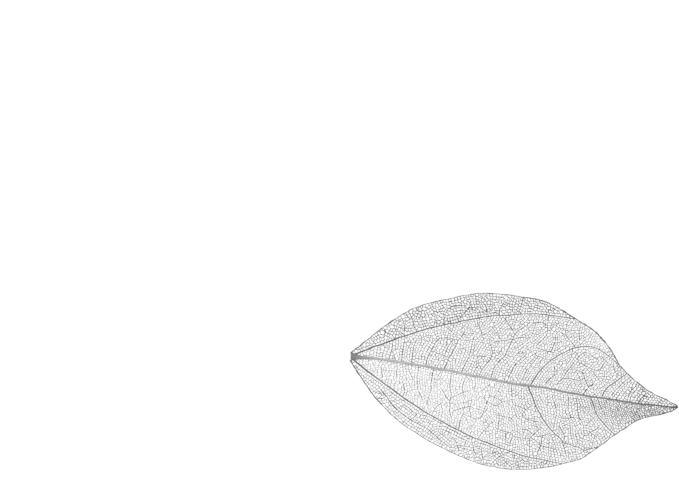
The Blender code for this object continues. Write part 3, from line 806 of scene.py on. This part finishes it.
class Areoles:
    """The full net: the places of its nodes, the ring of nodes round each areole, and its veins.

    Each vein has the name of the main vein that it lies on, if any, and a rank.
    """

    def __init__(self):
        strands = make_strands()
        twigs = make_twigs(strands)
        sown = AreoleSeeds(strands + twigs[0] + twigs[1])
        seeds = sown.places
        paired = sown.paired
        for share in EVENING_SHARES:
            seeds, paired = Net(seeds).evened_seeds(share, paired)
        net = Net(seeds)
        self.places = net.nodes
        self.rings = net.meshes
        self.panels = net.panels
        self.lines = net.veins
        self.join_short()
        self.beside = {}
        for pair in self.lines:
            for one, other in itertools.permutations(pair):
                self.beside.setdefault(one, set()).add(other)
        self.used = np.array(sorted(self.beside))
        self.rank_by_way()
        self.find_skirting()
        for line in strands:
            self.mark_along(line, 1, 2)
        for rank, group in enumerate(twigs, 2):
            for line in group:
                self.mark_along(line, rank, rank)
        self.settle()

    def nodes_on_lines(self):
        """Return the nodes that lie on main veins."""
        return {node for pair, name in self.lines.items() if name for node in pair}

    def join_short(self):
        """Make one node of the two ends of each very short vein."""
        on_line = self.nodes_on_lines()
        length = {pair: math.dist(*(self.places[node] for node in pair)) for pair in self.lines}
        into = {}
        for pair in sorted(self.lines, key=lambda pair: (length[pair], sorted(pair))):
            one, other = sorted(pair, key=lambda node: (node not in on_line, node))
            if length[pair] > SHORTEST_SIDE:
                break
            if other in on_line or one in into or other in into:
                continue
            if one not in on_line:
                self.places[one] = (self.places[one] + self.places[other]) / 2
            into[other] = one
            into[one] = one
        rings = []
        panels = []
        lines = {}
        for ring, panel in zip(self.rings, self.panels):
            names = [self.lines[frozenset(pair)] for pair in sides_of(ring)]
            joined = sides_of([into.get(node, node) for node in ring])
            kept = [(pair, name) for pair, name in zip(joined, names) if pair[0] != pair[1]]
            if len(kept) > 2:
                rings.append([pair[0] for pair, _ in kept])
                panels.append(panel)
                lines.update((frozenset(pair), name) for pair, name in kept)
        self.rings = rings
        self.panels = panels
        self.lines = lines

    def rank_by_way(self):
        """Rank the veins: 0 on a main vein, 4 along a column of areoles or a strip, and 5 across it."""
        pairs = sorted(self.lines, key=sorted)
        ends = self.places[np.array([sorted(pair) for pair in pairs])]
        middles = ends.mean(axis=1)
        gaps = ends[:, 1] - ends[:, 0]
        ways = np.empty_like(middles)
        out = middles[:, 1] - across("midrib", middles[:, 0])
        for side in (1, -1):
            here = np.sign(out) == side
            far = np.abs(out[here])
            mean_lean = leans_at(middles[here, 0], far / 2, side)
            leans = leans_at(middles[here, 0] - mean_lean * far, far, side)
            ways[here] = column_ways(middles[here], leans, side)
        along = np.abs(np.sum(gaps * ways, axis=1)) > FOLLOWING * np.hypot(*gaps.T)
        self.ranks = {}
        for pair, middle, follows in zip(pairs, middles, along):
            panel = panel_of(middle)
            if panel and panel[1]:
                follows = not follows
            self.ranks[pair] = 0 if self.lines[pair] else 4 if follows else 5

    def find_skirting(self):
        """Find the veins that run beside a main vein, one areole away from it."""
        on_line = self.nodes_on_lines()
        near = [pair for ring in self.rings if on_line & set(ring) for pair in sides_of(ring)]
        self.skirting = {frozenset(pair) for pair in near if not on_line & set(pair)}

    def mark_along(self, line, inner_rank, outer_rank):
        """Give the veins along a line one rank in its inner half and one in its outer half."""
        places = list(line[::int(STRAND_KNEE / LINE_STEP)]) + [line[-1]]
        nodes = [int(self.used[np.argmin(gaps_from(place, self.places[self.used]))]) for place in places]
        for n, (one, other) in enumerate(zip(nodes, nodes[1:])):
            rank = inner_rank if n < len(nodes) / 2 else outer_rank
            path = self.path(one, other)
            for pair in map(frozenset, zip(path, path[1:])):
                if pair not in self.skirting:
                    self.ranks[pair] = min(rank, self.ranks[pair])

    def path(self, start, end):
        """Return the nodes of the shortest way through the net, close to the straight one."""
        goal = self.places[end]
        way = goal - self.places[start]
        way = way / max(np.hypot(*way), TINY)
        cost = {start: 0.0}
        back = {}
        waiting = [(0.0, start)]
        while waiting:
            node = heapq.heappop(waiting)[1]
            if node == end:
                break
            for ahead in sorted(self.beside[node]):
                off = goal - self.places[ahead]
                stray = abs(way[0] * off[1] - way[1] * off[0])
                total = cost[node] + math.dist(self.places[ahead], self.places[node]) + STRAY_COST * stray
                if total < cost.get(ahead, math.inf):
                    cost[ahead] = total
                    back[ahead] = node
                    heapq.heappush(waiting, (total + math.hypot(*off), ahead))
        path = [end]
        while path[-1] != start:
            path.append(back[path[-1]])
        return path

    def settle(self):
        """Draw each small vein straight between its neighbours, those along a column most."""
        pairs = np.array([sorted(pair) for pair in self.ranks])
        pulls = np.array([PULLS[rank] for rank in self.ranks.values()])
        held = np.zeros(len(self.places), bool)
        held[list(self.nodes_on_lines())] = True
        for _ in range(SETTLE_TURNS):
            total = np.zeros_like(self.places)
            weight = np.zeros(len(self.places))
            for one, other in ((0, 1), (1, 0)):
                np.add.at(total, pairs[:, one], self.places[pairs[:, other]] * pulls[:, None])
                np.add.at(weight, pairs[:, one], pulls)
            mean = total / np.maximum(weight, TINY)[:, None]
            moved = self.places + SETTLE_SHARE * (mean - self.places)
            self.places = np.where(held[:, None], self.places, moved)


def stoutness(place):
    """Return how stout veins are at a place, as a share of their common width."""
    u, v = place
    grow, *ends = STOUT_TIP
    share = 1.0 + grow * float(ease_between(*ends, u))
    panel = panel_of(place)
    if panel and panel[1]:
        share += STRIP_GAIN
    for middle, reach, gain in STOUT_PLACES:
        share += gain * math.exp(-(math.dist(place, middle) / reach) ** 2)
    if v < 0:
        fine, *ends = SLENDER_BASE
        share -= fine * float(ease_between(*ends, u))
    for knot in KNOTS:
        far = math.dist(place, knot) / KNOT_REACH
        if far < KNOT_EDGE:
            share += KNOT_STOUTNESS * math.exp(-far * far)
    return share


def bow_rings(areoles):
    """Return the rings of each panel, with the half width of the vein after each node, and the places.

    Each side is bowed a little, and short veins end freely inside some areoles.
    """
    draw = random.Random(AREOLE_START + 1)
    areas = {}
    for ring in areoles.rings:
        for pair in sides_of(ring):
            areas.setdefault(frozenset(pair), []).append(area_of(areoles.places[ring]))
    places = list(areoles.places)
    knees = {}
    for pair, rank in areoles.ranks.items():
        start, end = areoles.places[sorted(pair)]
        place = (start + end) / 2 + draw.gauss(0.0, VEIN_BOW) * left_of(end - start)
        if areoles.lines[pair]:
            place = onto_line(areoles.lines[pair], place)
        spread = 1.0 if rank == 0 else math.exp(draw.gauss(0.0, WIDTH_SPREAD))
        if rank > 1:
            wide = math.sqrt(sum(areas[pair]) / len(areas[pair])) / areole_size(place)
            spread *= min(max(wide / COMMON_AREOLE, SIZE_GAINS[0]), SIZE_GAINS[1])
        gain = 1.0 + STOUT_GAINS[rank] * (stoutness(place) - 1.0)
        knees[pair] = (len(places), HALF_WIDTHS[rank] * spread * gain)
        places.append(place)
    bowed = {}
    for ring, panel in zip(areoles.rings, areoles.panels):
        full = []
        free = []
        for one, other in sides_of(ring):
            pair = frozenset((one, other))
            knee, width = knees[pair]
            full += [(one, width), (knee, width)]
            if not areoles.lines[pair]:
                free.append(len(full) - 1)
        if free and draw.random() < SPUR_SHARE:
            add_spur(full, draw.choice(free), places, draw)
        bowed.setdefault(panel, []).append(full)
    return bowed, np.array(places)


def add_spur(ring, at, places, draw):
    """Let a vein end freely inside a ring, starting at the node at a position in it."""
    middle = middle_of([places[node] for node, _ in ring])
    root, width = ring[at]
    way = np.subtract(middle, places[root])
    reach = draw.uniform(*SPUR_LENGTH)
    bend = draw.gauss(0.0, SPUR_BEND)
    if math.hypot(*way) < SPUR_ROOM:
        return
    knee = places[root] + reach * way
    on = SPUR_KNEE * reach * way + bend * left_of(way)
    half = SPUR_END / math.hypot(*on) * left_of(on)
    first = len(places)
    places += [knee, knee + on + half, knee + on - half]
    spur = [(first + n, SPUR_WIDTH) for n in (0, 1, 2, 0)]
    ring[at:at + 1] = [(root, SPUR_WIDTH)] + spur + [(root, width)]


class Lace:
    """The rings of one panel, ready to be made solid: nodes in order round each hole, and the widths."""

    def __init__(self, rings):
        self.nodes = []
        self.widths = []
        self.starts = []
        owned = {}
        for ring in rings:
            self.add_ring(ring)
            for (one, width), (other, _) in sides_of(ring):
                owned[one, other] = width
        back = {other: (one, width) for (one, other), width in owned.items() if (other, one) not in owned}
        while back:
            ring = []
            node = min(back)
            while node in back:
                ahead, width = back.pop(node)
                ring.append((node, width))
                node = ahead
            self.add_ring(ring)

    def add_ring(self, ring):
        """Add a ring of nodes, each with the half width of the vein that follows it."""
        self.starts.append(len(self.nodes))
        self.nodes += [node for node, _ in ring]
        self.widths += [width for _, width in ring]

    def mitres(self, places):
        """Return the way from each node to the side of its vein, the node that follows and the width."""
        nodes = np.array(self.nodes)
        after = np.arange(1, len(nodes) + 1)
        after[np.array(self.starts[1:] + [len(nodes)]) - 1] = self.starts
        before = np.empty_like(after)
        before[after] = np.arange(len(nodes))
        width_out = np.array(self.widths)
        width_in = width_out[before]
        widest = np.maximum(width_in, width_out)
        here = places[nodes]
        way_in = here - here[before]
        way_out = here[after] - here
        length_in = np.maximum(np.hypot(*way_in.T), TINY)
        length_out = np.maximum(np.hypot(*way_out.T), TINY)
        way_in = way_in / length_in[:, None]
        way_out = way_out / length_out[:, None]
        turn = way_in[:, 0] * way_out[:, 1] - way_in[:, 1] * way_out[:, 0]
        shallow = np.abs(turn) < SHALLOW_TURN
        mean = (left_of(way_in) * width_in[:, None] + left_of(way_out) * width_out[:, None]) / 2
        safe = np.where(shallow, 1.0, turn)[:, None]
        sharp = (way_out * width_in[:, None] - way_in * width_out[:, None]) / safe
        mitre = np.where(shallow[:, None], mean, sharp)
        backward = shallow & (np.sum(way_in * way_out, axis=1) < 0)
        mitre = np.where(backward[:, None], way_in * width_in[:, None], mitre)
        length = np.maximum(np.hypot(*mitre.T), TINY)
        room = MITRE_ROOM * np.minimum(length_in + width_in, length_out + width_out)
        wanted = np.minimum(length, LONGEST_MITRE * widest) + FILLET * np.clip(turn, 0.0, 1.0)
        wanted = np.minimum(wanted, np.maximum(room, widest))
        return mitre * (wanted / length)[:, None], after, widest

    def solid(self, places, heights):
        """Return the points and faces of the closed lace, with a six-sided vein along every side."""
        nodes = np.array(self.nodes)
        mitre, after, width = self.mitres(places)
        tops = np.zeros(len(places))
        np.maximum.at(tops, nodes, np.array(self.widths) * HEIGHT_SHARE)
        used, local = np.unique(nodes, return_inverse=True)
        beside = places[nodes] + mitre
        step = SIDE_SHARE * HEIGHT_SHARE * width
        points = np.concatenate((
            on_leaf(places[used], heights[used] + tops[used]),
            on_leaf(places[used], heights[used] - tops[used]),
            on_leaf(beside, heights[nodes] + step),
            on_leaf(beside, heights[nodes] - step),
        ))
        high = 2 * len(used) + np.arange(len(nodes))
        low = high + len(nodes)
        bottom = local + len(used)
        quads = np.concatenate((
            np.stack((local, local[after], high[after], high), axis=1),
            np.stack((high, high[after], low[after], low), axis=1),
            np.stack((low, low[after], bottom[after], bottom), axis=1),
        ))
        return points, quads


def rib_points(name):
    """Return the rings of points round a tapered rib along a main vein."""
    line = LINES[name]
    widths, uneven, smooth, ridges = RIBS[name]
    share = np.linspace(0.0, 1.0, len(line))
    noise = np.random.default_rng(len(name)).normal(0.0, 1.0, len(line) + smooth - 1)
    waver = np.convolve(noise, np.ones(smooth) / math.sqrt(smooth), "valid")
    radius = np.interp(share, np.linspace(0.0, 1.0, len(widths)), widths) * np.exp(uneven * waver)
    flare = BASE_FLARE[0] * np.exp(-(line[:, 0] / BASE_FLARE[1]) ** 2) if name == "midrib" else 0.0
    ahead = np.gradient(line, axis=0)
    side = left_of(ahead / np.hypot(*ahead.T)[:, None])
    centre = np.maximum(radius, NET_HEIGHT)
    rows = []
    for turn in np.linspace(0.0, 2 * math.pi, RIB_SIDES, endpoint=False):
        grooves = 1 + RIB_RIDGE * np.cos(ridges * turn + RIB_TWIST * share * math.pi)
        out = (radius + flare) * grooves * math.cos(turn)
        up = radius * grooves * math.sin(turn)
        rows.append(on_leaf(line + side * out[:, None], centre + up))
    return np.stack(rows, axis=1)


def make_rib(name):
    """Make the rib along a main vein, closed at both ends."""
    rows = rib_points(name)
    count, sides, _ = rows.shape
    ids = np.arange(count * sides).reshape(count, sides)
    around = np.roll(ids, -1, axis=1)
    quads = np.stack((ids[:-1], ids[1:], around[1:], around[:-1]), axis=2).reshape(-1, 4)
    caps = []
    for ring in (ids[0], ids[-1][::-1]):
        for n in range(sides // 2 - 1):
            caps.append((ring[n], ring[n + 1], ring[sides - 2 - n], ring[sides - 1 - n]))
    quads = np.concatenate((quads, np.array(caps)))
    return mesh_object("rib_" + name.replace(" ", "_"), rows.reshape(-1, 3), quads[:, ::-1])


def add_object(name, data):
    """Make an object and place it in the scene."""
    thing = bpy.data.objects.new(name, data)
    bpy.context.scene.collection.objects.link(thing)
    return thing


def mesh_object(name, points, faces):
    """Make a smooth-shaded object from arrays of points and four-sided faces."""
    mesh = bpy.data.meshes.new(name)
    mesh.vertices.add(len(points))
    mesh.vertices.foreach_set("co", np.asarray(points, np.float32).ravel())
    mesh.loops.add(faces.size)
    mesh.loops.foreach_set("vertex_index", faces.astype(np.int32).ravel())
    mesh.polygons.add(len(faces))
    mesh.polygons.foreach_set("loop_start", np.arange(0, faces.size, 4, dtype=np.int32))
    mesh.update(calc_edges=True)
    mesh.validate()
    mesh.shade_smooth()
    return add_object(name, mesh)


class Shading:
    """One material, with a short way to add its nodes."""

    def __init__(self, name):
        self.material = bpy.data.materials.new(name)
        self.material.use_nodes = True
        self.tree = self.material.node_tree
        self.shader = self.tree.nodes["Principled BSDF"]

    def feed(self, node, values, joined):
        """Set some inputs of a node, and join others to outputs."""
        for name, value in values.items():
            node.inputs[name].default_value = value
        for name, output in joined.items():
            self.tree.links.new(output, node.inputs[name])
        return node

    def add(self, kind, values, joined):
        """Add a node, with some inputs set and others joined."""
        return self.feed(self.tree.nodes.new(kind), values, joined)

    def place(self):
        """Return the object's own coordinates."""
        return self.add("ShaderNodeTexCoord", {}, {}).outputs["Object"]

    def noise(self, scale, stretch, detail):
        """Return noise over the object's own coordinates, drawn out along the leaf."""
        values = {"Scale": (1.0 / stretch, 1.0, 1.0)}
        squeeze = self.add("ShaderNodeMapping", values, {"Vector": self.place()})
        values = {"Scale": scale, "Detail": detail, "Roughness": NOISE_ROUGHNESS}
        return self.add("ShaderNodeTexNoise", values, {"Vector": squeeze.outputs["Vector"]}).outputs["Fac"]

    def map_range(self, source, low, high, to_low, to_high):
        """Return a number mapped from one range to another."""
        values = {"From Min": low, "From Max": high, "To Min": to_low, "To Max": to_high}
        return self.add("ShaderNodeMapRange", values, {"Value": source}).outputs["Result"]

    def finish(self, grey, relief, depth):
        """Set the fibre's grey, its dull surface and its fine relief."""
        colour = self.add("ShaderNodeCombineColor", {}, {"Red": grey, "Green": grey, "Blue": grey})
        values = {"Strength": RELIEF_STRENGTH, "Distance": depth}
        bump = self.add("ShaderNodeBump", values, {"Height": relief})
        joined = {"Base Color": colour.outputs["Color"], "Normal": bump.outputs["Normal"]}
        self.feed(self.shader, FIBRE_SURFACE, joined)
        return self.material


def net_material():
    """The dry grey fibre of the net, darker here and there."""
    shading = Shading("dried_net_fibre")
    grey = shading.map_range(shading.noise(*NET_PATCHES), *NOISE_RANGE, *NET_GREYS)
    return shading.finish(grey, shading.noise(*NET_GRAIN), NET_RELIEF)


def midrib_material():
    """The paler fibre of the midrib, in long strands, darker at the cut base and towards the tip."""
    shading = Shading("dried_midrib_fibre")
    strands = shading.noise(*MIDRIB_GRAIN)
    split = shading.add("ShaderNodeSeparateXYZ", {}, {"Vector": shading.place()})
    start, end = ((u - LEAF_MIDDLE[0]) * METRES for u in (BASE[0], TIP[0]))
    share = shading.map_range(split.outputs["X"], start, end, 0.0, 1.0)
    fade = shading.add("ShaderNodeValToRGB", {}, {"Fac": share})
    stops = fade.color_ramp.elements
    while len(stops) < len(MIDRIB_GREYS):
        stops.new(1.0)
    for stop, (u, grey) in zip(stops, MIDRIB_GREYS):
        stop.position = u / TIP[0]
        stop.color = (grey, grey, grey, 1.0)
    shade = shading.map_range(strands, *NOISE_RANGE, *MIDRIB_SHADES)
    product = shading.add("ShaderNodeMath", {}, {0: fade.outputs["Color"], 1: shade})
    product.operation = "MULTIPLY"
    return shading.finish(product.outputs["Value"], strands, MIDRIB_RELIEF)


def make_camera():
    """Look straight down, framed so that the leaf lies where it does in the photograph."""
    across_px = TIP_PIXEL[0] - BASE_PIXEL[0]
    down_px = TIP_PIXEL[1] - BASE_PIXEL[1]
    pixel = (TIP[0] - BASE[0]) / math.hypot(across_px, down_px) * METRES
    turn = math.atan2(down_px, across_px)
    right, down = ((FRAME_SIZE[axis] / 2 - BASE_PIXEL[axis]) * pixel for axis in (0, 1))
    base_x, base_y = ((BASE[axis] - LEAF_MIDDLE[axis]) * METRES for axis in (0, 1))
    x = base_x + right * math.cos(turn) + down * math.sin(turn)
    y = base_y + right * math.sin(turn) - down * math.cos(turn)
    camera = add_object("camera", bpy.data.cameras.new("camera"))
    camera.data.lens = LENS
    camera.data.sensor_width = SENSOR
    camera.location = (x, y, FRAME_SIZE[0] * pixel * LENS / SENSOR)
    camera.rotation_euler = (0.0, 0.0, turn)
    bpy.context.scene.camera = camera


def make_floor():
    """A white light table, which throws no shadow."""
    corners = [(x * FLOOR_REACH, y * FLOOR_REACH, 0.0) for x, y in ((-1, -1), (1, -1), (1, 1), (-1, 1))]
    black = (0.0, 0.0, 0.0, 1.0)
    white = (1.0, 1.0, 1.0, 1.0)
    values = {"Base Color": black, "Roughness": 1.0, "Specular IOR Level": 0.0}
    values.update({"Emission Color": white, "Emission Strength": TABLE_GLOW})
    shading = Shading("white_floor")
    shading.feed(shading.shader, values, {})
    floor = mesh_object("floor", corners, np.array([(0, 1, 2, 3)]))
    floor.data.materials.append(shading.material)


def make_light():
    """Even white light from all round, and a broad soft light from the upper left."""
    world = bpy.data.worlds.new("studio")
    world.use_nodes = True
    world.node_tree.nodes["Background"].inputs["Color"].default_value = (1.0, 1.0, 1.0, 1.0)
    world.node_tree.nodes["Background"].inputs["Strength"].default_value = SKY_GLOW
    bpy.context.scene.world = world
    light = add_object("soft_light", bpy.data.lights.new("soft_light", "AREA"))
    light.data.shape = "DISK"
    light.data.size = KEY_SIZE
    light.data.energy = KEY_POWER
    light.location = KEY_PLACE
    light.rotation_euler = (-light.location).to_track_quat("-Z", "Y").to_euler()


def attach(piece, material):
    """Give a piece its material and its body, and hide the solid's node that it stands in for."""
    piece.data.materials.append(material)
    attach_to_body(piece, "root")
    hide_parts("skeleton_leaf")


def make_leaf():
    """Make the lace of every panel and the ribs between them."""
    net_fibre = net_material()
    midrib_fibre = midrib_material()
    bowed, places = bow_rings(Areoles())
    draw = np.random.default_rng(AREOLE_START)
    heights = NET_HEIGHT + draw.normal(0.0, NET_WAVER, len(places))
    for panel in sorted(bowed):
        side, strip, passed = panel
        name = "net_%s_%s" % (side, "strip" if strip else "field_%d" % passed)
        points, quads = Lace(bowed[panel]).solid(places, heights)
        attach(mesh_object(name, points, quads), net_fibre)
    for name in RIBS:
        attach(make_rib(name), midrib_fibre if name == "midrib" else net_fibre)


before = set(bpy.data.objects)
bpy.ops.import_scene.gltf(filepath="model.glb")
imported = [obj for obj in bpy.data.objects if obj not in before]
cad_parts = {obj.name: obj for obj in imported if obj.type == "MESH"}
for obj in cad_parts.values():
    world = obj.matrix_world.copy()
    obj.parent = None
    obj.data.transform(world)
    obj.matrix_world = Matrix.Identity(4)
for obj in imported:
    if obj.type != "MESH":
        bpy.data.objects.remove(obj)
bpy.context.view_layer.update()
bpy.context.scene.view_settings.view_transform = "Standard"
make_camera()
make_light()
make_floor()
make_leaf()
